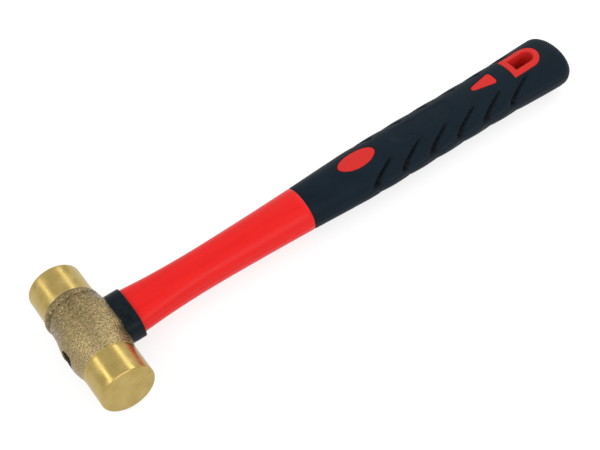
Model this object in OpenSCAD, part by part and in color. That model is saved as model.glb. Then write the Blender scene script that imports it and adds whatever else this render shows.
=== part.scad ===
// Brass-headed hammer with a two-shot moulded handle, lying on its side.
// Millimetres, +Z up. +X runs along the handle to its butt, Y is the striking axis.

/* [Head] */
// Diameter of each turned striking face
face_d = 30; // [24:0.5:36]
// Head centre to the face at -Y
face_front = 40.7; // [36:0.1:46]
// Head centre to the face at +Y
face_back = 40.2; // [36:0.1:46]
// Largest diameter of the cast barrel
barrel_d = 34.2; // [32:0.1:37]
// Rounding of the rim of each face
rim = 1; // [0.4:0.1:2]

/* [Eye] */
// Length of the cast pocket along the head
eye_len = 21; // [16:0.5:24]
// Width of the cast pocket across the head
eye_w = 14.6; // [12:0.1:17]
// Diameter of the resin mouth on the side away from the handle
mouth_d = 10.8; // [8:0.2:12]
// Distance of the resin mouth from the handle's axis, towards -Y
mouth_off = 5.2; // [0:0.1:6]

/* [Handle] */
// Head centre to the butt
reach = 309.5; // [280:0.5:340]
// Length of neck that stands inside the collar
collar_len = 11.2; // [8:0.2:14]
// How far the collar stands proud of the neck
collar_proud = 1.9; // [1:0.1:3]
// Head centre to the front edge of the grip
grip_start = 131; // [120:1:140]
// Thickness of the soft grip over the hard handle
grip_t = 2.2; // [1.6:0.1:3]
// Diameter of the fibreglass core
rod_d = 10; // [8:0.5:11]

/* [Grip details] */
// Length and width of the oval window
oval_l = 23.8; // [18:0.2:26]
oval_w = 12.2; // [10:0.2:13]
// Number of diagonal grooves on each flank
grooves = 6; // [4:1:6]
// Spacing of the grooves
groove_pitch = 19; // [18:0.5:20]
// Length and width of the hanging hole
hang_l = 15.2; // [12:0.1:16]
hang_w = 8.6; // [6:0.1:9]
// Width of the hard rim round the hanging hole
hang_rim = 4.4; // [3:0.1:4.5]

/* [Hidden] */

face_r = face_d / 2;
barrel_r = barrel_d / 2;
// Cast barrel, seen along the striking axis from -Y to +Y
barrel_front = -21.2;
barrel_end = 15.8;
ring_end = 20.9;
ring_r = face_r + 0.85;
shoulder_r = barrel_r - 1;

// Stations of the handle: distance from the head centre, half width (Y), half height (Z)
collar_x = 13;
collar_end = collar_x + collar_len;
half_w = [[collar_x, 13.4], [collar_end, 13.4], [41, 11.9], [66, 11], [101, 12.2], [131, 13.45],
          [164, 15.2], [205, 15.5], [240, 15.3], [268, 15.5], [290, 16.5], [reach, 17]];
half_h = [[collar_x, 8.3], [collar_end, 8.3], [41, 8.8], [66, 9.7], [101, 10.6], [131, 11.5],
          [164, 12.5], [205, 12.8], [240, 12.9], [268, 13.2], [290, 13.8], [reach, 14.1]];
// Roundness of the section: 2 is an ellipse, more is squarer
corner = [[collar_x, 2.7], [60, 2.45], [110, 2.1], [reach, 2.1]];
butt_r = 7;
around = 40;

// Grip windows and eyelet, measured along the handle
oval_x = 168.9;
drop_tip = 249;
drop_end = 265.2;
drop_w = 8.9;
hang_x = 278.3;
jacket_end = 301;
pocket_floor = -13.2;
rod_start = -10.5;
rod_end = 270;
groove_first = 169.7;
groove_run = 16;

// The tool rests on its barrel and on the grip near the butt
rest_x = reach - butt_r;
rest_h = smooth(half_h, rest_x);
lean = asin(barrel_r / norm([rest_x, rest_h])) - atan(rest_h / rest_x);

module lie_down() {
  translate([-(reach - barrel_r) / 2, (face_front - face_back) / 2, barrel_r])
    rotate([0, lean, 0])
      children();
}

// Smooth curve through a list of [x, value] stations
function span(t, x, i = 0) = i >= len(t) - 2 || x < t[i + 1][0] ? i : span(t, x, i + 1);
function grade(t, i) =
  let (a = max(i - 1, 0), b = min(i + 1, len(t) - 1))
  (t[b][1] - t[a][1]) / (t[b][0] - t[a][0]);
function smooth(t, x) =
  let (i = span(t, x), h = t[i + 1][0] - t[i][0], s = (x - t[i][0]) / h)
  t[i][1] * (2 * s ^ 3 - 3 * s ^ 2 + 1) + grade(t, i) * h * (s ^ 3 - 2 * s ^ 2 + s)
  + t[i + 1][1] * (3 * s ^ 2 - 2 * s ^ 3) + grade(t, i + 1) * h * (s ^ 3 - s ^ 2);

// Point of a rounded oval section at angle a, c squares its corners
function soft(v, c) = sign(v) * abs(v) ^ (2 / c);
function oval_pt(w, h, a, c) = [w * soft(cos(a), c), h * soft(sin(a), c)];

// Section of the handle at x, inset evenly by t
function section(x, t) =
  [for (k = [0 : around - 1])
    let (w = smooth(half_w, x) - t, h = smooth(half_h, x) - t,
      p = oval_pt(w, h, 360 * k / around, smooth(corner, x)))
    [x, p[0], p[1]]];

// Section drawn in round the butt, s from 0 at its start to 1 at the end
function butt_section(s) =
  let (a = 90 * s, x = reach - butt_r * (1 - sin(a)), t = butt_r * (1 - cos(a)) * 0.75)
  section(x, t);

// Closed skin over a list of rings of equal length
module skin(rings) {
  n = len(rings[0]);
  last = len(rings) - 1;
  sides = [for (r = [0 : last - 1], k = [0 : n - 1])
    let (m = (k + 1) % n)
    [r * n + k, (r + 1) * n + k, (r + 1) * n + m, r * n + m]];
  first_cap = [for (k = [0 : n - 1]) k];
  last_cap = [for (k = [n - 1 : -1 : 0]) last * n + k];
  polyhedron([for (r = rings) each r], concat(sides, [first_cap, last_cap]), convexity = 4);
}

// Straight prism along X on the section at the collar, grown by g
module neck_prism(x0, x1, g) {
  w = half_w[0][1] + g;
  h = half_h[0][1] + g;
  translate([x0, 0, 0])
    rotate([90, 0, 90])
      linear_extrude(x1 - x0)
        polygon([for (k = [0 : around - 1]) oval_pt(w, h, 360 * k / around, corner[0][1])]);
}

// Turned ends and cast barrel as one solid of revolution about Y
module head_blank() {
  steps = 8;
  bulge = [for (s = [0 : steps])
    let (y = barrel_front + 2.4 + (barrel_end - barrel_front - 2.4) * s / steps)
    [shoulder_r + (barrel_r - shoulder_r) * sin(180 * (s + 0.5) / (steps + 1)), y]];
  corner_front = [for (a = [0 : 30 : 90])
    [face_r - rim + rim * sin(a), -face_front + rim - rim * cos(a)]];
  corner_back = [for (a = [90 : -30 : 0])
    [face_r - rim + rim * sin(a), face_back - rim + rim * cos(a)]];
  rotate([-90, 0, 0])
    rotate_extrude($fn = 96)
      polygon(concat([[0, -face_front]], corner_front,
        [[face_r, barrel_front], [face_r + 1.1, barrel_front + 0.5]],
        bulge,
        [[face_r + 0.4, barrel_end + 0.2], [face_r + 0.4, barrel_end + 0.9],
         [ring_r, barrel_end + 1.5], [ring_r, ring_end - 0.7], [face_r, ring_end]],
        corner_back, [[0, face_back]]));
}

// Pocket that the handle is bonded into, and the round mouth that it is filled through
module eye() {
  past = barrel_r + 1;
  translate([pocket_floor, 0, 0])
    rotate([90, 0, 90])
      linear_extrude(past - pocket_floor)
        union() {
          square([eye_len - eye_w, eye_w], center = true);
          for (side = [-1, 1])
            translate([side * (eye_len - eye_w) / 2, 0]) circle(d = eye_w, $fn = 64);
        }
  translate([-past, -mouth_off, 0])
    rotate([0, 90, 0])
      cylinder(d = mouth_d, h = past + pocket_floor + 1, $fn = 64);
}

// One brass casting: sand-cast barrel, ends turned bright
module head() {
  color("goldenrod")
    lie_down()
      difference() {
        head_blank();
        eye();
      }
}

// Black resin that bonds the core into the eye, flush with the barrel at both ends
module eye_resin() {
  color("black")
    lie_down()
      difference() {
        intersection() {
          eye();
          head_blank();
        }
        rod();
      }
}

module rod() {
  translate([rod_start, 0, 0])
    rotate([0, 90, 0])
      cylinder(d = rod_d, h = rod_end - rod_start, $fn = 48);
}

// Fibreglass rod from the eye to just short of the hanging hole
module core_rod() {
  color("wheat")
    lie_down()
      rod();
}

// Outline of a teardrop, tip towards the head
module drop_outline() {
  tip_r = 1.1;
  end_r = 1.9;
  hull() {
    translate([drop_tip + tip_r, 0]) circle(tip_r, $fn = 32);
    for (side = [-1, 1])
      translate([drop_end - end_r, side * (drop_w / 2 - end_r)]) circle(end_r, $fn = 32);
  }
}

// Flat towards the head, round towards the butt
module d_outline(x0, l, w) {
  translate([x0, -w / 2]) square([l - w / 2, w]);
  translate([x0 + l - w / 2, 0]) circle(d = w, $fn = 64);
}

module oval_outline() {
  polygon([for (k = [0 : 35])
    [oval_x + oval_l / 2 * cos(10 * k), oval_w / 2 * sin(10 * k)]]);
}

// Pads of the hard handle that show through the grip
module pads(top) {
  linear_extrude(top) {
    oval_outline();
    drop_outline();
  }
  linear_extrude(2 * top, center = true)
    d_outline(hang_x - hang_rim, hang_l + 2 * hang_rim, hang_w + 2 * hang_rim);
}

// Full outer form of the handle between two stations, inset by t
module form(x0, x1, t, rings) {
  skin([for (s = [0 : rings]) section(x0 + (x1 - x0) * s / rings, t)]);
}

// Outer form of the grip with its rounded butt
module grip_form() {
  body_rings = 16;
  butt_rings = 5;
  skin(concat(
    [for (s = [0 : body_rings - 1])
      section(grip_start + (reach - butt_r - grip_start) * s / body_rings, 0)],
    [for (s = [0 : butt_rings]) butt_section(s / butt_rings)]));
}

// Red jacket moulded over the rod: bare neck, slimmer under the grip, with its pads
module handle_jacket() {
  color("red")
    lie_down()
      difference() {
        union() {
          neck_prism(collar_x, collar_end, 0);
          form(collar_end, grip_start, 0, 14);
          form(grip_start, jacket_end, grip_t, 18);
          intersection() {
            grip_form();
            pads(20);
          }
        }
        head_blank();
        rod();
        linear_extrude(40, center = true) d_outline(hang_x, hang_l, hang_w);
      }
}

// Black ring pressed up to the barrel, closing the mouth of the eye
module collar() {
  color("dimgray")
    lie_down()
      difference() {
        neck_prism(collar_x, collar_end, collar_proud);
        neck_prism(collar_x - 1, collar_end + 1, 0);
        head_blank();
      }
}

// One diagonal groove, running up from the side of the grip towards the head's far end
module groove(i) {
  x0 = groove_first + i * groove_pitch;
  w = smooth(half_w, x0);
  h = smooth(half_h, x0);
  low = [x0, w, 1.8];
  mid = [x0 + groove_run * 0.45, w * 0.86, h * 0.55];
  high = [x0 + groove_run, w * 0.6, h * 0.82];
  hull() {
    translate(low) sphere(1.5, $fn = 8);
    translate(mid) sphere(1.2, $fn = 8);
  }
  hull() {
    translate(mid) sphere(1.2, $fn = 8);
    translate(high) sphere(0.6, $fn = 8);
  }
}

// Soft black grip, one shot over the jacket
module grip() {
  color("darkslategray")
    lie_down()
      difference() {
        grip_form();
        form(grip_start - 1, jacket_end, grip_t, 18);
        pads(20);
        for (flank = [0, 1], under = [0, 1], i = [0 : grooves - 1])
          mirror([0, flank, 0]) mirror([0, 0, under]) groove(i);
      }
}

head();
eye_resin();
core_rod();
handle_jacket();
collar();
grip();
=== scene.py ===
import math
import bpy
from mathutils import Matrix, Vector


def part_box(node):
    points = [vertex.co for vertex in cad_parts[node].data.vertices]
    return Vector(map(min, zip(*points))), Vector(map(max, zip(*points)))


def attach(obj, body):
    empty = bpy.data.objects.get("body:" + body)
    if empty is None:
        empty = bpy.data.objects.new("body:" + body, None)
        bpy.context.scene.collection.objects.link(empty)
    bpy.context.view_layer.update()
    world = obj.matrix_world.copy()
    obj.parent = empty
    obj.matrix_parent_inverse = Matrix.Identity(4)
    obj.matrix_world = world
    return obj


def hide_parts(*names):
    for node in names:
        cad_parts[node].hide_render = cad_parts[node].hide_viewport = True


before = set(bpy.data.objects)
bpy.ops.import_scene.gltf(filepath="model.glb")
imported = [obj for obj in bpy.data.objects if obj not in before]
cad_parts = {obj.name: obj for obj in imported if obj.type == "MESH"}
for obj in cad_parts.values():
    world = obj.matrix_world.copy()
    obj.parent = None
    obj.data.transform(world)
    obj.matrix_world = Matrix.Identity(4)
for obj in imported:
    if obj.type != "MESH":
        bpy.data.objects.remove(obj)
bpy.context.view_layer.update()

# ---- Head ----------------------------------------------------------------
# One brass casting: a sand-cast barrel, left rough, between two ends turned bright on a lathe.
# The barrel carries the eye, a blind oval pocket on the handle's side with a small filling mouth
# opposite. Its profile is spun about the striking axis, which is Y through the head's centre.
MM = 0.001
head_lo, head_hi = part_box("head")
rod_lo, rod_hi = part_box("core_rod")
# The boss round the eye makes the head's box lopsided, so its centre comes from barrel and rod
BARREL_R = (head_hi.z - head_lo.z) / 2
ROD_D = rod_hi.y - rod_lo.y
HEAD_C = (head_lo + head_hi) / 2
HEAD_C.x = head_lo.x + BARREL_R
HEAD_C.y = (rod_hi.y + rod_lo.y) / 2
# The tool leans a little, because it rests on its barrel and on the grip near the butt
LEAN = math.asin((rod_hi.z - rod_lo.z - ROD_D) / (rod_hi.x - rod_lo.x))
LIE = Matrix.Translation(HEAD_C) @ Matrix.Rotation(LEAN, 4, "Y")
# Places along the striking axis from the head's centre, and the radii of its turned ends
FACE_FRONT = head_lo.y - HEAD_C.y
FACE_BACK = head_hi.y - HEAD_C.y
FACE_R = 15.0 * MM
RIM = 1.35 * MM
BARREL_FRONT = -21.7 * MM
BARREL_BACK = 15.6 * MM
RING_BACK = 20.9 * MM
RING_PROUD = 0.9 * MM
# The head's mesh is fine enough to carry the grain of the cast skin
SPIN_STEPS = 360
SKIN_STEP = 0.3 * MM


def new_piece(name, add, **size):
    """Deselects everything, adds one primitive and leaves it in edit mode, all selected."""
    bpy.ops.object.select_all(action="DESELECT")
    add(**size)
    piece = bpy.context.object
    piece.name = name
    bpy.ops.object.mode_set(mode="EDIT")
    bpy.ops.mesh.select_all(action="SELECT")
    return piece


def only(piece):
    """Selects the piece alone and makes it the active one."""
    bpy.ops.object.select_all(action="DESELECT")
    piece.select_set(True)
    bpy.context.view_layer.objects.active = piece


def chain(points):
    """Draws an edge chain through the points, from a vertex that is extruded along."""
    bpy.ops.mesh.merge(type="CENTER")
    for a, b in zip(points, points[1:]):
        bpy.ops.mesh.extrude_vertices_move(TRANSFORM_OT_translate={"value": Vector(b) - Vector(a)})


def apply_modifier(piece, kind, **settings):
    only(piece)
    modifier = piece.modifiers.new(kind.title(), kind)
    for key, value in settings.items():
        setattr(modifier, key, value)
    bpy.ops.object.modifier_apply(modifier=modifier.name)


def cut(piece, cutter, operation="DIFFERENCE"):
    """Cuts the cutter's shape from the piece, or joins it on, and clears the cutter away."""
    apply_modifier(piece, "BOOLEAN", object=cutter, operation=operation, solver="EXACT")
    bpy.data.objects.remove(cutter)


def smooth_shade(piece, degrees=35):
    only(piece)
    bpy.ops.object.shade_smooth_by_angle(angle=math.radians(degrees))


def ease(t):
    """Smooth step from 0 to 1, held beyond them."""
    t = min(max(t, 0.0), 1.0)
    return t * t * (3 - 2 * t)


def lie_down(piece):
    """Takes a piece from the tool's own axes, head centre at the origin, to where it lies."""
    piece.data.transform(LIE)


def barrel_radius(y):
    """Cast barrel: fullest in front of the eye, a long front shoulder and a short back one."""
    fullest = -5.5 * MM
    corner_length, corner_drop = 1.6 * MM, 1.1 * MM
    to_front = max(0.0, (fullest - y) / (fullest - BARREL_FRONT))
    to_back = max(0.0, (y - fullest) / (BARREL_BACK - fullest))
    front = (BARREL_R - FACE_R - 0.1 * MM) * to_front ** 2.5
    back = 0.45 * MM * to_back ** 2
    corner = min(1.0, max(0.0, 1 - (BARREL_BACK - y) / corner_length))
    return BARREL_R - front - back - corner_drop * (1 - math.sqrt(1 - corner ** 2))


def boss(y, side):
    """How far the casting swells round the eye, on the handle's side (side is x over radius)."""
    proud, half_length, run_out = 1.4 * MM, 13.5 * MM, 6 * MM
    return proud * ease((half_length - abs(y)) / run_out) * ease((side - 0.45) / 0.4)


def front_edge(side):
    """How far the casting's front edge draws back on the flanks, where it was filed clean."""
    return (2.2 if side < 0 else 1.5) * MM * abs(side) ** 2


def head_profile():
    """Half outline of the head as (radius, y), from the front face's centre to the back's."""
    dot_r, dot_depth = 0.5 * MM, 0.2 * MM
    land_rows = 8
    points = [(0.0, FACE_FRONT + dot_depth), (dot_r, FACE_FRONT)]
    points += [(r * MM, FACE_FRONT) for r in (3, 6, 9, 12)]
    for i in range(7):
        a = math.radians(15 * i)
        points.append((FACE_R - RIM + RIM * math.sin(a), FACE_FRONT + RIM - RIM * math.cos(a)))
    # The front's turned land, undercut where it meets the casting
    y0, y1 = FACE_FRONT + RIM, BARREL_FRONT
    points += [(FACE_R, y0 + (y1 - y0) * i / land_rows) for i in range(1, land_rows)]
    points += [(FACE_R, BARREL_FRONT - 0.4 * MM), (FACE_R - 0.05 * MM, BARREL_FRONT - 0.15 * MM)]
    # The cast barrel, and the groove and the ring behind it
    rows = round((BARREL_BACK - BARREL_FRONT) / SKIN_STEP)
    for i in range(rows + 1):
        y = BARREL_FRONT + (BARREL_BACK - BARREL_FRONT) * i / rows
        points.append((barrel_radius(y), y))
    groove, groove_r = BARREL_BACK + 0.35 * MM, FACE_R + 0.15 * MM
    ring_front = groove + 0.5 * MM
    points += [(groove_r, groove), (groove_r, ring_front)]
    rows = round((RING_BACK - ring_front) / SKIN_STEP)
    for i in range(rows + 1):
        t = i / rows
        arch = min(1.0, t * 1.15)
        crest = RING_PROUD * math.sin(math.pi * arch) ** 0.45
        points.append((FACE_R + crest, ring_front + (RING_BACK - ring_front) * t))
    # The back's turned land
    y0, y1 = RING_BACK, FACE_BACK - RIM
    points += [(FACE_R, y0 + (y1 - y0) * i / land_rows) for i in range(1, land_rows)]
    for i in range(6, -1, -1):
        a = math.radians(15 * i)
        points.append((FACE_R - RIM + RIM * math.sin(a), FACE_BACK - RIM + RIM * math.cos(a)))
    points += [(r * MM, FACE_BACK) for r in (12, 9, 6, 3)]
    points += [(dot_r, FACE_BACK), (0.0, FACE_BACK - dot_depth)]
    return points


head = new_piece("brass_head", bpy.ops.mesh.primitive_plane_add, size=MM)
outline = [(r, y, 0.0) for r, y in head_profile()]
bpy.ops.mesh.merge(type="CENTER")
bpy.ops.transform.translate(value=outline[0])
chain(outline)
bpy.ops.mesh.select_all(action="SELECT")
bpy.ops.mesh.spin(steps=SPIN_STEPS, angle=2 * math.pi, center=(0, 0, 0), axis=(0, 1, 0))
bpy.ops.mesh.select_all(action="SELECT")
bpy.ops.mesh.remove_doubles(threshold=0.01 * MM)
bpy.ops.mesh.normals_make_consistent(inside=False)
bpy.ops.object.mode_set(mode="OBJECT")

# The casting is a little out of true: its front edge is drawn back on both flanks, and it is
# slimmer at the back, on the side away from the handle
SHOULDER = -10 * MM
SLIM, SLIM_FROM, SLIM_OVER = 1.5 * MM, -3 * MM, 13 * MM
cast = head.vertex_groups.new(name="cast")
for v in head.data.vertices:
    y, r = v.co.y, math.hypot(v.co.x, v.co.z)
    if not BARREL_FRONT < y < RING_BACK or r < FACE_R:
        continue
    side = v.co.x / r
    if y < BARREL_BACK + 0.1 * MM:
        slim = SLIM * max(0.0, -side) ** 1.5 * ease((y - SLIM_FROM) / SLIM_OVER)
        scale = (r - slim + boss(y, side)) / r
        v.co.x *= scale
        v.co.z *= scale
    v.co.y += front_edge(side) * ease((y - SHOULDER) / (BARREL_FRONT - SHOULDER))
    cast.add([v.index], 1.0, "REPLACE")
sand = bpy.data.textures.new("sand", "CLOUDS")
sand.noise_scale = 0.75 * MM
sand.noise_depth = 2
apply_modifier(head, "DISPLACE", texture=sand, strength=0.2 * MM, mid_level=0.5, vertex_group="cast")

# The eye: the oval pocket for the handle, and the filling mouth, cut through the casting at once
eye_lo, eye_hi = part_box("eye_resin")
EYE_L = eye_hi.y - eye_lo.y
EYE_W = 14.6 * MM
POCKET_FLOOR = -13.2 * MM
MOUTH_Y = -7.3 * MM
MOUTH_HALF_Y, MOUTH_HALF_Z = 4.8 * MM, 6.3 * MM
# Clear of the casting, so that the cut opens both ends
OUTSIDE = 22 * MM


def bar(name, radius, x0, x1, y=0.0, sides=64):
    """A round bar along the handle's axis from x0 to x1, its place already in its mesh."""
    piece = new_piece(name, bpy.ops.mesh.primitive_cylinder_add, vertices=sides, radius=radius,
                      depth=x1 - x0, rotation=(0, math.pi / 2, 0), location=((x0 + x1) / 2, y, 0))
    bpy.ops.object.mode_set(mode="OBJECT")
    bpy.ops.object.transform_apply(location=True, rotation=True, scale=True)
    return piece


def eye_form(name, mouth_x, open_x, gap):
    """The eye's shape, drawn in all round by gap: an oval pocket from its floor to open_x, and
    the mouth out to mouth_x."""
    pocket = bar(name, EYE_W / 2 - gap, POCKET_FLOOR + gap, open_x)
    for v in pocket.data.vertices:
        if abs(v.co.y) > 0.01 * MM:
            v.co.y += math.copysign((EYE_L - EYE_W) / 2, v.co.y)
    mouth = bar("mouth", MM, mouth_x, POCKET_FLOOR + MM)
    # The mouth's round section is squared up, and stretched to its two half widths
    for v in mouth.data.vertices:
        y, z = (math.copysign(abs(part / MM) ** 0.5, part) for part in (v.co.y, v.co.z))
        v.co.y = MOUTH_Y + y * (MOUTH_HALF_Y - gap)
        v.co.z = z * (MOUTH_HALF_Z - gap)
    cut(pocket, mouth, "UNION")
    return pocket


cut(head, eye_form("eye", -OUTSIDE, OUTSIDE, 0.0))


def surface(name, colour, metal, rough, specular=0.5):
    """A material with its Principled shader's even values set; returns it with its nodes."""
    m = bpy.data.materials.new(name)
    m.use_nodes = True
    shader = m.node_tree.nodes["Principled BSDF"]
    shader.inputs["Base Color"].default_value = (*colour, 1)
    shader.inputs["Metallic"].default_value = metal
    shader.inputs["Roughness"].default_value = rough
    shader.inputs["Specular IOR Level"].default_value = specular
    return m, m.node_tree, shader


def link(tree, out, into):
    tree.links.new(out, into)


def node(tree, kind, **values):
    """Adds a node; values are its properties, or its inputs where the name has no property."""
    n = tree.nodes.new(kind)
    for key, value in values.items():
        if hasattr(n, key):
            setattr(n, key, value)
        else:
            n.inputs[key.replace("_", " ")].default_value = value
    return n


def placed(tree, scale=(1, 1, 1)):
    """Object coordinates, centred on the head and squared up with the tool's own axes."""
    place = node(tree, "ShaderNodeTexCoord")
    back = node(tree, "ShaderNodeMapping", vector_type="TEXTURE")
    back.inputs["Location"].default_value = HEAD_C
    back.inputs["Rotation"].default_value = (0, LEAN, 0)
    stretch = node(tree, "ShaderNodeVectorMath", operation="MULTIPLY")
    stretch.inputs[1].default_value = scale
    link(tree, place.outputs["Object"], back.inputs["Vector"])
    link(tree, back.outputs["Vector"], stretch.inputs[0])
    return stretch.outputs["Vector"]


def noise(tree, vector, scale, detail=2.0, roughness=0.5):
    """A noise texture's value; scale is in cells a metre."""
    n = node(tree, "ShaderNodeTexNoise", Scale=scale, Detail=detail, Roughness=roughness)
    link(tree, vector, n.inputs["Vector"])
    return n.outputs["Fac"]


def remap(tree, value, low, high, to_low, to_high):
    """Takes a value from one range to another, held at its ends."""
    n = node(tree, "ShaderNodeMapRange", From_Min=low, From_Max=high, To_Min=to_low, To_Max=to_high)
    link(tree, value, n.inputs["Value"])
    return n.outputs["Result"]


def tint(tree, factor, dark, light, shader, low=0.3, high=0.7):
    """Colours the shader from dark to light as factor goes from low to high."""
    ramp = node(tree, "ShaderNodeValToRGB")
    ramp.color_ramp.elements[0].position = low
    ramp.color_ramp.elements[0].color = (*dark, 1)
    ramp.color_ramp.elements[1].position = high
    ramp.color_ramp.elements[1].color = (*light, 1)
    link(tree, factor, ramp.inputs["Fac"])
    link(tree, ramp.outputs["Color"], shader.inputs["Base Color"])
    return ramp


def bump(tree, heights, shader):
    """Stacks bumps; heights is a list of (value, distance in metres, strength)."""
    last = None
    for value, distance, strength in heights:
        b = node(tree, "ShaderNodeBump", Distance=distance, Strength=strength)
        link(tree, value, b.inputs["Height"])
        if last:
            link(tree, last.outputs["Normal"], b.inputs["Normal"])
        last = b
    link(tree, last.outputs["Normal"], shader.inputs["Normal"])


# Turned brass: fine rings left by the tool, and a faint handling haze
turned, tree, shader = surface("turned_brass", (0.5, 0.365, 0.125), 1.0, 0.2)
axes = placed(tree)
rings = noise(tree, placed(tree, (60, 5200, 60)), 1.0, 3.0)
haze = noise(tree, axes, 160, 4.0, 0.6)
tint(tree, haze, (0.405, 0.292, 0.088), (0.49, 0.366, 0.127), shader, 0.35, 0.7)
link(tree, remap(tree, haze, 0.35, 0.7, 0.25, 0.38), shader.inputs["Roughness"])
bump(tree, [(rings, 0.02 * MM, 0.25), (haze, 0.12 * MM, 0.4)], shader)

# Sand-cast brass: coarse bright grain with dull hollows
rough_cast, tree, shader = surface("cast_brass", (0.36, 0.27, 0.13), 1.0, 0.5)
axes = placed(tree)
grain = noise(tree, axes, 1050, 3.0, 0.65)
pits = noise(tree, axes, 620, 2.0, 0.5)
patches = noise(tree, axes, 95, 3.0, 0.6)
# Painted light and shade: the grain's colour is lifted towards the front end and lowered towards the
# back
split = node(tree, "ShaderNodeSeparateXYZ")
link(tree, axes, split.inputs["Vector"])
painted_front_light = node(tree, "ShaderNodeMath", operation="ADD")
link(tree, grain, painted_front_light.inputs[0])
link(tree, remap(tree, split.outputs["Y"], -0.016, 0.016, 0.05, -0.08), painted_front_light.inputs[1])
tint(tree, painted_front_light.outputs["Value"], (0.14, 0.103, 0.045), (0.4, 0.305, 0.15), shader, 0.36, 0.62)
link(tree, remap(tree, patches, 0.35, 0.65, 0.2, 0.36), shader.inputs["Roughness"])
bump(tree, [(grain, 0.5 * MM, 0.85), (pits, 0.4 * MM, 0.5)], shader)

head.data.materials.append(turned)
head.data.materials.append(rough_cast)
for p in head.data.polygons:
    c = p.center
    first_row = BARREL_FRONT - 0.1 * MM + front_edge(c.x / FACE_R)
    on_casting = (first_row < c.y < RING_BACK - 0.1 * MM
                  or math.hypot(c.x, c.z) > FACE_R + 0.05 * MM)
    p.material_index = 1 if on_casting else 0
lie_down(head)
smooth_shade(head, 40)
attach(head, "root")
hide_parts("head")

# ---- Core rod ------------------------------------------------------------
# Pultruded fibreglass rod down the middle of the handle, bonded into the eye with resin.
# Straight glass strands run along it; only its ends and strands tell it from plain plastic.
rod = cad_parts["core_rod"]
glass, tree, shader = surface("fibreglass", (0.72, 0.62, 0.38), 0.0, 0.38)
strands = noise(tree, placed(tree, (25, 2600, 2600)), 1.0, 3.0, 0.6)
tint(tree, strands, (0.55, 0.44, 0.22), (0.82, 0.74, 0.52), shader)
bump(tree, [(strands, 0.06 * MM, 0.5)], shader)
rod.data.materials.clear()
rod.data.materials.append(glass)

# ---- Handle jacket -------------------------------------------------------
# Hard red plastic moulded over the rod. It is bare along the neck, steps down to a slimmer core
# under the grip, and stands up again as an oval, a teardrop and the eyelet for hanging. Places on
# the handle are in millimetres from the head's centre.
NECK_START = 12.0
COLLAR_END = 24.5
GRIP_START = 131.0
CORE_END = 301.0
GRIP_WALL = 2.2
# The butt's place: the lean carries the top edge of its flat end a little further out than it
BUTT_EDGE = 8.85
grip_end = (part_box("grip")[1].x - HEAD_C.x) / MM
REACH = round((grip_end - math.sin(LEAN) * BUTT_EDGE) / math.cos(LEAN), 1)
# Half width and half height in millimetres at stations along the handle
HALF_WIDTH = [(13, 13.4), (24.2, 13.4), (41, 11.9), (66, 11.0), (101, 12.2), (131, 13.45),
              (164, 15.2), (205, 15.5), (240, 15.3), (268, 15.5), (290, 16.5), (309.5, 17.0)]
HALF_HEIGHT = [(13, 8.3), (24.2, 8.3), (41, 8.8), (66, 9.7), (101, 10.6), (131, 11.5),
               (164, 12.5), (205, 12.8), (240, 12.9), (268, 13.2), (290, 13.8), (309.5, 14.1)]
# How square the section's corners are: 2 is an ellipse, more is squarer
SQUARENESS = [(13, 2.7), (60, 2.45), (110, 2.1), (309.5, 2.1)]


def smooth_between(stations, x):
    """Height at x of a smooth curve through the stations, each an (x, height)."""
    i = 0
    while i < len(stations) - 2 and x >= stations[i + 1][0]:
        i += 1

    def grade(k):
        a, b = stations[max(k - 1, 0)], stations[min(k + 1, len(stations) - 1)]
        return (b[1] - a[1]) / (b[0] - a[0])

    (xa, a), (xb, b) = stations[i], stations[i + 1]
    h = xb - xa
    t = min(1.0, max(0.0, (x - xa) / h))
    return (a * (2 * t ** 3 - 3 * t ** 2 + 1) + grade(i) * h * (t ** 3 - 2 * t ** 2 + t)
            + b * (3 * t ** 2 - 2 * t ** 3) + grade(i + 1) * h * (t ** 3 - t ** 2))


def section_at(x, inset=0.0):
    """Half width, half height and squareness of the handle at x, all in millimetres."""
    x = max(x, HALF_WIDTH[0][0])
    return (smooth_between(HALF_WIDTH, x) - inset, smooth_between(HALF_HEIGHT, x) - inset,
            smooth_between(SQUARENESS, x))


def on_section(w, h, c, a):
    """Point and outward direction of a rounded oval at angle a, from +Y over the top."""
    cos_a, sin_a = math.cos(a), math.sin(a)
    y = math.copysign(w * abs(cos_a) ** (2 / c), cos_a)
    z = math.copysign(h * abs(sin_a) ** (2 / c), sin_a)
    ny = math.copysign((abs(y) / w) ** (c - 1) / w, y)
    nz = math.copysign((abs(z) / h) ** (c - 1) / h, z)
    size = math.hypot(ny, nz)
    return y, z, ny / size, nz / size


def crown(x, y, inset=0.0):
    """Height of the top surface over the point x, y, in millimetres."""
    w, h, c = section_at(x, inset)
    return h * (1 - min(1.0, abs(y) / w) ** c) ** (1 / c)


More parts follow.
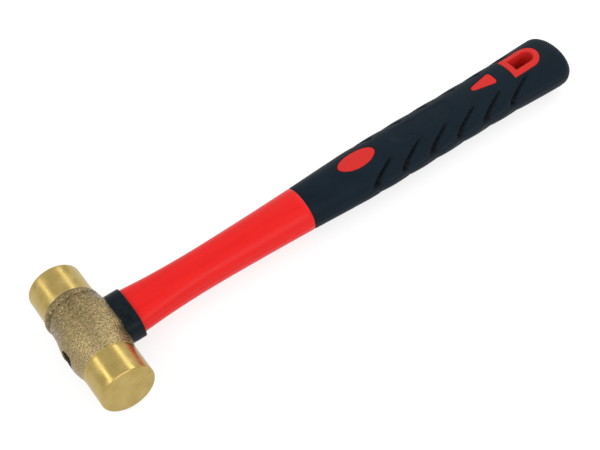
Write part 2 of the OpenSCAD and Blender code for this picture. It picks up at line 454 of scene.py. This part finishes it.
def loft(name, path, around, relief=None, section=section_at):
    """Solid along X: a cylinder whose sides are cut into rings, each ring then fitted to the
    section at its place in path, a list of (x, inset). relief(x, a, inset) lowers the surface.
    The vertices are bunched towards the two narrow sides, where the section turns most."""
    bunching = 0.22
    x0, x1 = path[0][0] * MM, path[-1][0] * MM
    piece = bar(name, MM, x0, x1, sides=around)
    bpy.ops.object.mode_set(mode="EDIT")
    bpy.ops.mesh.select_mode(type="EDGE")
    bpy.ops.mesh.select_all(action="DESELECT")
    bpy.ops.object.mode_set(mode="OBJECT")
    for e in piece.data.edges:
        a, b = (piece.data.vertices[i].co for i in e.vertices)
        e.select = abs(a.x - b.x) > 0.5 * (x1 - x0)
    bpy.ops.object.mode_set(mode="EDIT")
    bpy.ops.mesh.subdivide(number_cuts=len(path) - 2)
    bpy.ops.mesh.select_mode(type="VERT")
    bpy.ops.object.mode_set(mode="OBJECT")
    sections = [section(x, inset) for x, inset in path]
    for v in piece.data.vertices:
        ring = round((v.co.x - x0) / (x1 - x0) * (len(path) - 1))
        turn = math.atan2(v.co.z, v.co.y)
        a = turn - bunching * math.sin(2 * turn)
        x = path[ring][0]
        y, z, ny, nz = on_section(*sections[ring], a)
        depth = relief(x, a, path[ring][1]) if relief else 0.0
        v.co = Vector((x, y - ny * depth, z - nz * depth)) * MM
    return piece


def spread(a, b, step):
    """Even stations from a to b, no further apart than step."""
    n = math.ceil((b - a) / step)
    return [a + (b - a) * i / n for i in range(n + 1)]


# Mean half size of the handle in millimetres, which turns an angle round it into a distance
HANDLE_R = 14
SEAM_ANGLE = math.radians(3.5)
SEAM_WIDTH = 0.3


def seam(a, depth):
    """Mould parting line: a fine groove along both narrow sides, a little above the middle."""
    off = min(abs(a - SEAM_ANGLE), abs(math.pi - a - SEAM_ANGLE)) * HANDLE_R
    return depth * math.exp(-(off / SEAM_WIDTH) ** 2)


def neck_relief(x, a, inset):
    """The seam shows on the bare neck, not on the core under the grip."""
    return 0.0 if inset > 1 else seam(a, 0.34)


def finish_solid(piece):
    """Merges the solid's doubled vertices and turns its faces outwards."""
    only(piece)
    bpy.ops.object.mode_set(mode="EDIT")
    bpy.ops.mesh.select_all(action="SELECT")
    bpy.ops.mesh.remove_doubles(threshold=0.002 * MM)
    bpy.ops.mesh.normals_make_consistent(inside=False)
    bpy.ops.object.mode_set(mode="OBJECT")


def saddle():
    """The barrel's form, to shape the ends that are pressed up against it."""
    gap = 0.05 * MM
    form = new_piece("saddle", bpy.ops.mesh.primitive_plane_add, size=MM)
    rows = [BARREL_FRONT + (BARREL_BACK - BARREL_FRONT) * i / 24 for i in range(25)]
    half = [(0.0, BARREL_FRONT, 0.0)] + [(barrel_radius(y) + gap, y, 0.0) for y in rows]
    half.append((0.0, BARREL_BACK, 0.0))
    bpy.ops.mesh.merge(type="CENTER")
    bpy.ops.transform.translate(value=half[0])
    chain(half)
    bpy.ops.mesh.select_all(action="SELECT")
    bpy.ops.mesh.spin(steps=120, angle=2 * math.pi, center=(0, 0, 0), axis=(0, 1, 0))
    bpy.ops.object.mode_set(mode="OBJECT")
    for v in form.data.vertices:
        r = math.hypot(v.co.x, v.co.z)
        if r > MM:
            scale = 1 + boss(v.co.y, v.co.x / r) / r
            v.co.x *= scale
            v.co.z *= scale
    finish_solid(form)
    return form


neck_path = [(x, 0.0) for x in spread(NECK_START, GRIP_START - 0.3, 1.4)]
neck_path += [(GRIP_START - 0.08, 0.1), (GRIP_START, 0.3), (GRIP_START, GRIP_WALL)]
neck_path += [(x, GRIP_WALL) for x in spread(GRIP_START, CORE_END, 3.4)[1:]]
jacket = loft("handle_jacket", neck_path, 128, neck_relief)
# The neck runs a touch off centre into the head
NECK_OFF = -0.2
NECK_BEND = 100
for v in jacket.data.vertices:
    v.co.y += NECK_OFF * MM * ease((GRIP_START - v.co.x / MM) / NECK_BEND)
cut(jacket, saddle())

# The pads that stand up through the grip's windows: their places and sizes, the middle line that
# they share, and the height of their foot inside the core
OVAL_X, OVAL_L, OVAL_W = 169.2, 23.8, 12.2
DROP_TIP, DROP_END, DROP_W = 249.0, 264.6, 8.9
DROP_TIP_R, DROP_END_R = 1.8, 1.9
DROP_MIDDLE = DROP_END - 5
HANG_X, HANG_L, HANG_W, HANG_RIM = 278.1, 14.4, 8.4, 3.8
PADS_Y = 0.65
PAD_FOOT = 7.0


def arc(cx, cy, r, start, end, n):
    """Points of an arc in millimetres, both ends included; angles in degrees."""
    return [(cx + r * math.cos(math.radians(start + (end - start) * i / n)),
             cy + r * math.sin(math.radians(start + (end - start) * i / n))) for i in range(n + 1)]


def line(ax, ay, bx, by, n):
    """Points of a straight stretch without its last one."""
    return [(ax + (bx - ax) * i / n, ay + (by - ay) * i / n) for i in range(n)]


def oval_outline(grow=0.0):
    """Oval lying along the handle; grow widens an outline all round."""
    return [(OVAL_X + (OVAL_L / 2 + grow) * c, PADS_Y + (OVAL_W / 2 + grow) * d)
            for c, d in arc(0, 0, 1, 0, 355, 71)]


def drop_outline(grow=0.0):
    """Teardrop with its tip towards the head: one small arc and two larger ones."""
    cx, cy = DROP_END - DROP_END_R, DROP_W / 2 - DROP_END_R
    tip_x = DROP_TIP + DROP_TIP_R
    tilt = math.degrees(math.atan2(cy, cx - tip_x)
                        + math.asin((DROP_END_R - DROP_TIP_R) / math.hypot(cy, cx - tip_x)))
    upper = arc(cx, PADS_Y + cy, DROP_END_R + grow, 0, 90 + tilt, 9)
    tip = arc(tip_x, PADS_Y, DROP_TIP_R + grow, 90 + tilt, 270 - tilt, 8)
    lower = arc(cx, PADS_Y - cy, DROP_END_R + grow, 270 - tilt, 360, 9)
    return (upper[:-1] + line(*upper[-1], *tip[0], 8) + tip[:-1]
            + line(*tip[-1], *lower[0], 8) + lower + line(*lower[-1], *upper[0], 4)[1:])


def eyelet_outline(grow=0.0):
    """Flat towards the head, round towards the butt."""
    r, x0, x1 = HANG_W / 2 + grow, HANG_X - grow, HANG_X + HANG_L - HANG_W / 2
    left, right = PADS_Y - r, PADS_Y + r
    return (arc(x1, PADS_Y, r, -90, 90, 32)[:-1] + line(x1, right, x0, right, 6)
            + line(x0, right, x0, left, 14) + line(x0, left, x1, left, 6))


def place_round(co, n):
    """Which of a circle's n vertices this is; the first one is on +Y."""
    return round((math.atan2(co.y, co.x) / (2 * math.pi) - 0.25) * n) % n


def prism(name, outline, z0, z1):
    """The outline filled, and extruded from z0 up to z1."""
    piece = new_piece(name, bpy.ops.mesh.primitive_circle_add, vertices=len(outline), radius=MM,
                      fill_type="NGON")
    bpy.ops.mesh.extrude_region_move(TRANSFORM_OT_translate={"value": (0, 0, (z1 - z0) * MM)})
    bpy.ops.object.mode_set(mode="OBJECT")
    for v in piece.data.vertices:
        x, y = outline[place_round(v.co, len(outline))]
        v.co = Vector((x * MM, y * MM, v.co.z + z0 * MM))
    finish_solid(piece)
    return piece


def edge_distance(outline, x, y):
    """Distance in millimetres from the point to the closed outline."""
    best = 1e9
    for (ax, ay), (bx, by) in zip(outline, outline[1:] + outline[:1]):
        dx, dy = bx - ax, by - ay
        t = ((x - ax) * dx + (y - ay) * dy) / max(dx * dx + dy * dy, 1e-12)
        t = min(1.0, max(0.0, t))
        best = min(best, math.hypot(x - ax - t * dx, y - ay - t * dy))
    return best


def pad(name, outer, inner, foot, cuts, edges):
    """A pad between two matching outlines: two circles bridged in rings and extruded down, then
    laid on the crown with its edges rounded. Its foot is at that height, or mirrors the top."""
    n = len(outer)
    piece = new_piece(name, bpy.ops.mesh.primitive_circle_add, vertices=n, radius=2 * MM)
    bpy.ops.mesh.primitive_circle_add(vertices=n, radius=MM)
    bpy.ops.mesh.select_all(action="SELECT")
    bpy.ops.mesh.bridge_edge_loops(number_cuts=cuts, interpolation="LINEAR")
    if foot is not None:
        bpy.ops.mesh.select_all(action="DESELECT")
        bpy.ops.object.mode_set(mode="OBJECT")
        for v in piece.data.vertices:
            v.select = v.co.length < 1.001 * MM
        bpy.ops.object.mode_set(mode="EDIT")
        bpy.ops.mesh.edge_face_add()
    bpy.ops.mesh.select_all(action="SELECT")
    bpy.ops.mesh.extrude_region_move(TRANSFORM_OT_translate={"value": (0, 0, -20 * MM)})
    bpy.ops.object.mode_set(mode="OBJECT")
    # A hair below the crown, so that the grip stands level with the pad or a little proud of it
    below_crown, rounding = 0.05, 0.4
    for v in piece.data.vertices:
        out = math.hypot(v.co.x, v.co.y) / MM - 1
        k = place_round(v.co, n)
        x = inner[k][0] + (outer[k][0] - inner[k][0]) * out
        y = inner[k][1] + (outer[k][1] - inner[k][1]) * out
        lip = max(0.0, 1 - min(edge_distance(edge, x, y) for edge in edges) / rounding)
        top = crown(x, y) - below_crown - rounding * (1 - math.sqrt(1 - min(1.0, lip) ** 2))
        below = v.co.z < -MM
        z = top if not below else -top if foot is None else foot
        v.co = Vector((x, y, z)) * MM
    finish_solid(piece)
    return piece


def shrunk(outline, cx):
    """The outline drawn in to a twelfth of its size round cx on the pads' middle line."""
    return [(cx + (x - cx) / 12, PADS_Y + (y - PADS_Y) / 12) for x, y in outline]


THROUGH = 20
cut(jacket, prism("core_hole", eyelet_outline(HANG_RIM / 2), -THROUGH, THROUGH))
oval, drop = oval_outline(), drop_outline()
cut(jacket, pad("oval", oval, shrunk(oval, OVAL_X), PAD_FOOT, 30, [oval]), "UNION")
cut(jacket, pad("drop", drop, shrunk(drop, DROP_MIDDLE), PAD_FOOT, 24, [drop]), "UNION")
rim, hole = eyelet_outline(HANG_RIM), eyelet_outline()
cut(jacket, pad("eyelet", rim, hole, None, 22, [rim, hole]), "UNION")
cut(jacket, bar("rod_bore", ROD_D / 2, 5 * MM, 270 * MM))

# Red plastic: even colour, a fine sheen with faint flow marks along the handle, and tiny specks
red, tree, shader = surface("red_plastic", (0.65, 0.004, 0.003), 0.0, 0.4, 0.22)
axes = placed(tree)
flow = noise(tree, placed(tree, (30, 260, 260)), 1.0, 3.0, 0.6)
specks = noise(tree, axes, 1100, 2.0, 0.5)
tint(tree, flow, (0.585, 0.003, 0.0022), (0.64, 0.0044, 0.0028), shader, 0.3, 0.7)
link(tree, remap(tree, flow, 0.3, 0.7, 0.34, 0.46), shader.inputs["Roughness"])
bump(tree, [(flow, 0.12 * MM, 0.4), (specks, 0.02 * MM, 0.4)], shader)

# The pads in the grip's windows are grained by the mould, so they are duller and darker
dull_red, tree, shader = surface("dull_red_plastic", (0.62, 0.01, 0.008), 0.0, 0.6, 0.22)
grainy = noise(tree, placed(tree), 1300, 3.0, 0.6)
tint(tree, grainy, (0.46, 0.01, 0.007), (0.53, 0.013, 0.009), shader, 0.3, 0.7)
bump(tree, [(grainy, 0.06 * MM, 0.5)], shader)
jacket.data.materials.append(red)
jacket.data.materials.append(dull_red)
for p in jacket.data.polygons:
    p.material_index = 1 if p.center.x > (GRIP_START + 1) * MM else 0
lie_down(jacket)
smooth_shade(jacket, 38)
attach(jacket, "root")
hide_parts("handle_jacket")

# ---- Grip ----------------------------------------------------------------
# Soft black rubber, the second shot, moulded over the jacket's core from the neck round the butt.
# Diagonal grooves cross each flank, and a shallow blank panel lies on the top.
BUTT_R = 7.0
GROOVES, GROOVE_PITCH, GROOVE_RUN, GROOVE_FIRST = 6, 19.0, 14.5, 171.3
GROOVE_LOW, GROOVE_HIGH = math.radians(12.5), math.radians(56)
# Half width and depth of a groove at its bottom, and how much of each is gone at its top
GROOVE_HALF, GROOVE_NARROWS = 2.05, 1.2
GROOVE_DEEP, GROOVE_SHOALS = 1.7, 0.9
# Share of their depth that the grooves have on the underside
UNDER = 0.3
PILLOW = 0.28
PANEL_X0, PANEL_X1, PANEL_HALF, PANEL_DEEP = 193.0, 234.0, 5.6, 0.5
WINDOW_GAP = 0.14


def groove_depth(x, rise):
    """Depth of the grooves at x and at the angle rise above the side: wide and deep at the
    bottom, running out to a thin scratch at the top."""
    depth = 0.0
    steps = 24
    for i in range(GROOVES):
        start = GROOVE_FIRST + GROOVE_PITCH * i
        if not start - GROOVE_HALF < x < start + GROOVE_RUN + GROOVE_HALF:
            continue
        # The nearest point on the groove's middle line, and how far up the line it is
        near, where = 1e9, 0.0
        for s in (k / steps for k in range(steps + 1)):
            dx = x - start - GROOVE_RUN * s ** 1.5
            da = (rise - GROOVE_LOW - (GROOVE_HIGH - GROOVE_LOW) * s) * HANDLE_R
            off = math.hypot(dx, da)
            if off < near:
                near, where = off, s
        half = GROOVE_HALF - GROOVE_NARROWS * where
        floor_depth = GROOVE_DEEP - GROOVE_SHOALS * where
        # Flat over two fifths of the half width, then up a smooth side
        depth = max(depth, floor_depth * (1 - ease((near / half - 0.4) / 0.6)))
    return depth


def pillow(x, rise):
    """Slight swelling of the rubber between one groove and the next."""
    s = min(1.0, max(0.0, (rise - GROOVE_LOW) / (GROOVE_HIGH - GROOVE_LOW)))
    phase = (x - GROOVE_FIRST - GROOVE_RUN * s ** 1.5) / GROOVE_PITCH
    along = ease(phase + 1) * ease(GROOVES - 0.2 - phase)
    across = ease(rise / GROOVE_LOW) * ease((GROOVE_HIGH - rise) / (GROOVE_HIGH - GROOVE_LOW) * 2)
    return PILLOW * math.sin(math.pi * (phase % 1.0)) ** 2 * along * across


def panel_depth(x, y):
    """Blank panel on the top, a shallow stadium with a sloping edge."""
    edge = 0.7
    nearest = min(max(x, PANEL_X0 + PANEL_HALF), PANEL_X1 - PANEL_HALF)
    inwards = PANEL_HALF - math.hypot(x - nearest, y)
    return PANEL_DEEP * ease(inwards / edge)


def grip_relief(x, a, inset):
    """All the grip's relief together, which fades out where the butt rounds over."""
    fade_from = 0.6
    rise = min(abs(a), math.pi - abs(a))
    w, h, c = section_at(x)
    y = w * abs(math.cos(a)) ** (2 / c)
    depth = groove_depth(x, rise) * (1 if a > 0 else UNDER) - pillow(x, rise) + seam(a, 0.26)
    if a > 0:
        depth += panel_depth(x, y)
    if inset > fade_from:
        depth *= max(0.0, 1 - (inset - fade_from))
    return depth


def butt_path():
    """Rounds the butt over, then closes its slightly domed end."""
    end_inset = BUTT_R * 0.75
    turn = [(REACH - BUTT_R * (1 - math.sin(t)), end_inset * (1 - math.cos(t)))
            for t in (math.radians(d) for d in range(5, 90, 5))]
    end = [(REACH - 0.12, end_inset - 0.5)]
    end += [(REACH - 0.001, end_inset + 1.5 * k) for k in range(1, 5)]
    return sorted(turn + end)


grip_path = [(GRIP_START, 0.45), (GRIP_START + 0.12, 0.2), (GRIP_START + 0.4, 0.03)]
grip_path += [(x, 0.0) for x in spread(GRIP_START + 0.9, REACH - BUTT_R, 0.5)]
grip_path += butt_path()
grip = loft("rubber_grip", grip_path, 176, grip_relief)
BORE_WALL = GRIP_WALL - 0.03
core_path = [(GRIP_START - 2, BORE_WALL)]
core_path += [(x, BORE_WALL) for x in spread(GRIP_START, CORE_END + 0.05, 3.4)]
cut(grip, loft("bore", core_path, 128))
WINDOW_FOOT = 5
for outline, low in ((oval_outline(WINDOW_GAP), WINDOW_FOOT),
                     (drop_outline(WINDOW_GAP), WINDOW_FOOT),
                     (eyelet_outline(HANG_RIM + WINDOW_GAP), -THROUGH)):
    cut(grip, prism("window", outline, low, THROUGH))

# How deep each point lies in a groove is kept for the material, which paints shade into the grooves
# with it. The butt is then trimmed a little short and out of square
TRIM_SLOPE, TRIM_SHORT, TRIM_FROM, TRIM_OVER = 0.085, 0.8 * MM, 299, 9
painted_groove_shade = grip.data.attributes.new("painted_groove_shade", "FLOAT", "POINT")
for v in grip.data.vertices:
    w, h, c = section_at(v.co.x / MM)
    rise = math.atan2((abs(v.co.z) / MM / h) ** (c / 2), (abs(v.co.y) / MM / w) ** (c / 2))
    share = groove_depth(v.co.x / MM, rise) / GROOVE_DEEP
    painted_groove_shade.data[v.index].value = share * (1 if v.co.z > 0 else UNDER)
    trim = ease((v.co.x / MM - TRIM_FROM) / TRIM_OVER)
    v.co.x -= (TRIM_SLOPE * v.co.y + TRIM_SHORT) * trim

# Rubber: matt, finely textured by the mould, with a bloom that lightens it in soft patches, and
# painted shade darkening the grooves
rubber, tree, shader = surface("black_rubber", (0.003, 0.009, 0.015), 0.0, 0.55, 0.09)
axes = placed(tree)
bloom = noise(tree, axes, 70, 3.0, 0.6)
texture = noise(tree, axes, 1600, 2.0, 0.6)
greyed = tint(tree, bloom, (0.0017, 0.0067, 0.0125), (0.0032, 0.0102, 0.0176), shader, 0.35, 0.7)
# Painted shade: the grooves' colour is pulled towards near black by how deep each point lies in them
groove_shade_mask = node(tree, "ShaderNodeAttribute", attribute_name="painted_groove_shade")
dark = node(tree, "ShaderNodeMix", data_type="RGBA")
# A Mix node's sockets share names between its kinds of data, so they are found by number
FACTOR, COLOUR_A, COLOUR_B, COLOUR_OUT = 0, 6, 7, 2
link(tree, remap(tree, groove_shade_mask.outputs["Fac"], 0.05, 0.45, 0.0, 0.92), dark.inputs[FACTOR])
link(tree, greyed.outputs["Color"], dark.inputs[COLOUR_A])
# The near black of the painted shade down in the grooves
dark.inputs[COLOUR_B].default_value = (0.0006, 0.0014, 0.002, 1)
link(tree, dark.outputs[COLOUR_OUT], shader.inputs["Base Color"])
link(tree, remap(tree, bloom, 0.3, 0.7, 0.46, 0.62), shader.inputs["Roughness"])
bump(tree, [(texture, 0.08 * MM, 0.5), (bloom, 0.1 * MM, 0.4)], shader)
grip.data.materials.append(rubber)
lie_down(grip)
smooth_shade(grip, 38)
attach(grip, "root")
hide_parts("grip")

# ---- Collar --------------------------------------------------------------
# Black plastic ring slipped over the neck and pressed up against the barrel, which its end
# is shaped to. It dams the resin in while the eye is filled.
COLLAR_PROUD = 1.7
COLLAR_START = 12.5
COLLAR_EDGE = 0.5
# The ring sits slipped over towards the front face, so it is a little narrower there
COLLAR_SLIP = -0.75


def neck_section(x, inset):
    """The neck's section where the collar sits, the same all along."""
    return section_at(NECK_START, inset)


def collar_section(x, inset):
    """The neck's section with the ring's wall round it."""
    w, h, c = neck_section(x, 0.0)
    return w + COLLAR_PROUD + COLLAR_SLIP / 2 - inset, h + COLLAR_PROUD - inset, c


collar_path = [(COLLAR_START, 0.0)] + [(x, 0.0) for x in spread(13, COLLAR_END - COLLAR_EDGE, 0.8)]
collar_path += [(COLLAR_END - COLLAR_EDGE * (1 - math.sin(t)), COLLAR_EDGE * (1 - math.cos(t)))
                for t in (math.radians(d) for d in (30, 60, 90))]
collar = loft("collar_ring", collar_path, 128, None, collar_section)
for v in collar.data.vertices:
    v.co.y += COLLAR_SLIP * MM
NECK_GAP = 0.02
bore_path = [(x, -NECK_GAP) for x in (COLLAR_START - 1, 15, COLLAR_END + 1)]
neck_bore = loft("neck_bore", bore_path, 96, None, neck_section)
for v in neck_bore.data.vertices:
    v.co.y += NECK_OFF * MM
cut(collar, neck_bore)
cut(collar, saddle())

# Black plastic with a film of spilt resin, glossier and lumpier in patches
black, tree, shader = surface("black_plastic", (0.003, 0.008, 0.012), 0.0, 0.4, 0.1)
axes = placed(tree)
scuff = noise(tree, axes, 900, 3.0, 0.6)
smear = noise(tree, axes, 330, 3.0, 0.55)
tint(tree, smear, (0.001, 0.004, 0.006), (0.003, 0.009, 0.013), shader, 0.35, 0.7)
link(tree, remap(tree, smear, 0.35, 0.65, 0.24, 0.5), shader.inputs["Roughness"])
bump(tree, [(scuff, 0.05 * MM, 0.5), (smear, 0.35 * MM, 0.5)], shader)
collar.data.materials.append(black)
lie_down(collar)
smooth_shade(collar, 40)
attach(collar, "root")
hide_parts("collar")

# ---- Eye resin -----------------------------------------------------------
# Black two-part epoxy poured in round the rod through the filling mouth. It sinks a little as it
# sets, so the plug in the mouth is dished, glossy and lumpy.
PLUG_SINK = 0.8 * MM
RESIN_TOP = 12.9 * MM
ROD_END = -10.5 * MM
resin = eye_form("eye_resin_fill", PLUG_SINK - BARREL_R, RESIN_TOP, 0.02 * MM)
cut(resin, bar("rod_hole", ROD_D / 2, ROD_END, RESIN_TOP + MM, sides=48))
epoxy, tree, shader = surface("black_epoxy", (0.003, 0.002, 0.002), 0.0, 0.6, 0.02)
sink = noise(tree, placed(tree), 420, 3.0, 0.5)
tint(tree, sink, (0.001, 0.001, 0.001), (0.006, 0.004, 0.003), shader, 0.4, 0.75)
link(tree, remap(tree, sink, 0.3, 0.7, 0.5, 0.75), shader.inputs["Roughness"])
bump(tree, [(sink, 0.3 * MM, 0.6)], shader)
resin.data.materials.append(epoxy)
lie_down(resin)
smooth_shade(resin, 40)
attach(resin, "root")
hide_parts("eye_resin")

# ---- Studio --------------------------------------------------------------
# White table under an even dome. A long soft box hangs on either side of the head, in line with the
# striking axis, a third stands low in front, and the camera looks down from the front left.
floor = new_piece("floor", bpy.ops.mesh.primitive_plane_add, size=60.0)
bpy.ops.object.mode_set(mode="OBJECT")
paper, tree, shader = surface("white_paper", (0.25, 0.25, 0.25), 0.0, 0.7, 0.1)
shader.inputs["Emission Color"].default_value = (1, 1, 1, 1)
shader.inputs["Emission Strength"].default_value = 0.77
floor.data.materials.append(paper)

world = bpy.data.worlds.new("dome")
bpy.context.scene.world = world
world.use_nodes = True
world.node_tree.nodes["Background"].inputs["Color"].default_value = (1, 1, 1, 1)
world.node_tree.nodes["Background"].inputs["Strength"].default_value = 0.9

for name, spot, wide, long, watts in (
        ("soft_box_left", (-1.07, 0.25, 1.19), 0.22, 2.3, 8.0),
        ("soft_box_right", (1.21, 0.25, 1.05), 0.38, 2.3, 8.6),
        ("soft_box_front", (0.1, -1.0, 0.55), 1.0, 0.5, 3.8)):
    light = bpy.data.lights.new(name, "AREA")
    light.shape = "RECTANGLE"
    light.size, light.size_y = wide, long
    light.energy = watts
    lamp = bpy.data.objects.new(name, light)
    bpy.context.scene.collection.objects.link(lamp)
    spot = Vector(spot)
    # A long box faces squarely down on the striking axis, and the front one faces the head
    way = Vector((spot.x, 0, spot.z)).normalized() if long > wide else spot.normalized()
    along = (Vector((0, 1, 0)) - way * way.y).normalized()
    aim = Matrix((along.cross(way), along, way)).transposed().to_4x4()
    aim.translation = HEAD_C + spot
    lamp.matrix_world = aim

# Camera by its bearings from the head, in the tool's own axes: it looks down at 51 degrees, and
# stands back from the head, and to the right and up as it sees them, in metres
BACK_OFF, RIGHT_OF, ABOVE = 0.64226, 0.10670, 0.05617
AZIMUTH, ELEVATION, ROLL = (math.radians(a) for a in (-27.334, 50.798, -9.34))
back = Vector((math.sin(AZIMUTH) * math.cos(ELEVATION), -math.cos(AZIMUTH) * math.cos(ELEVATION),
               math.sin(ELEVATION)))
level = Vector((math.cos(AZIMUTH), math.sin(AZIMUTH), 0))
over = back.cross(level)
right = level * math.cos(ROLL) + over * math.sin(ROLL)
up = over * math.cos(ROLL) - level * math.sin(ROLL)
lens = bpy.data.cameras.new("camera")
lens.lens, lens.sensor_width = 75.818, 36
lens.shift_y = 0.0005
camera = bpy.data.objects.new("camera", lens)
bpy.context.scene.collection.objects.link(camera)
stand = Matrix((right, up, back)).transposed().to_4x4()
stand.translation = back * BACK_OFF + right * RIGHT_OF + up * ABOVE
camera.matrix_world = LIE @ stand
bpy.context.scene.camera = camera
bpy.context.scene.view_settings.view_transform = "Standard"

bpy.context.view_layer.update()
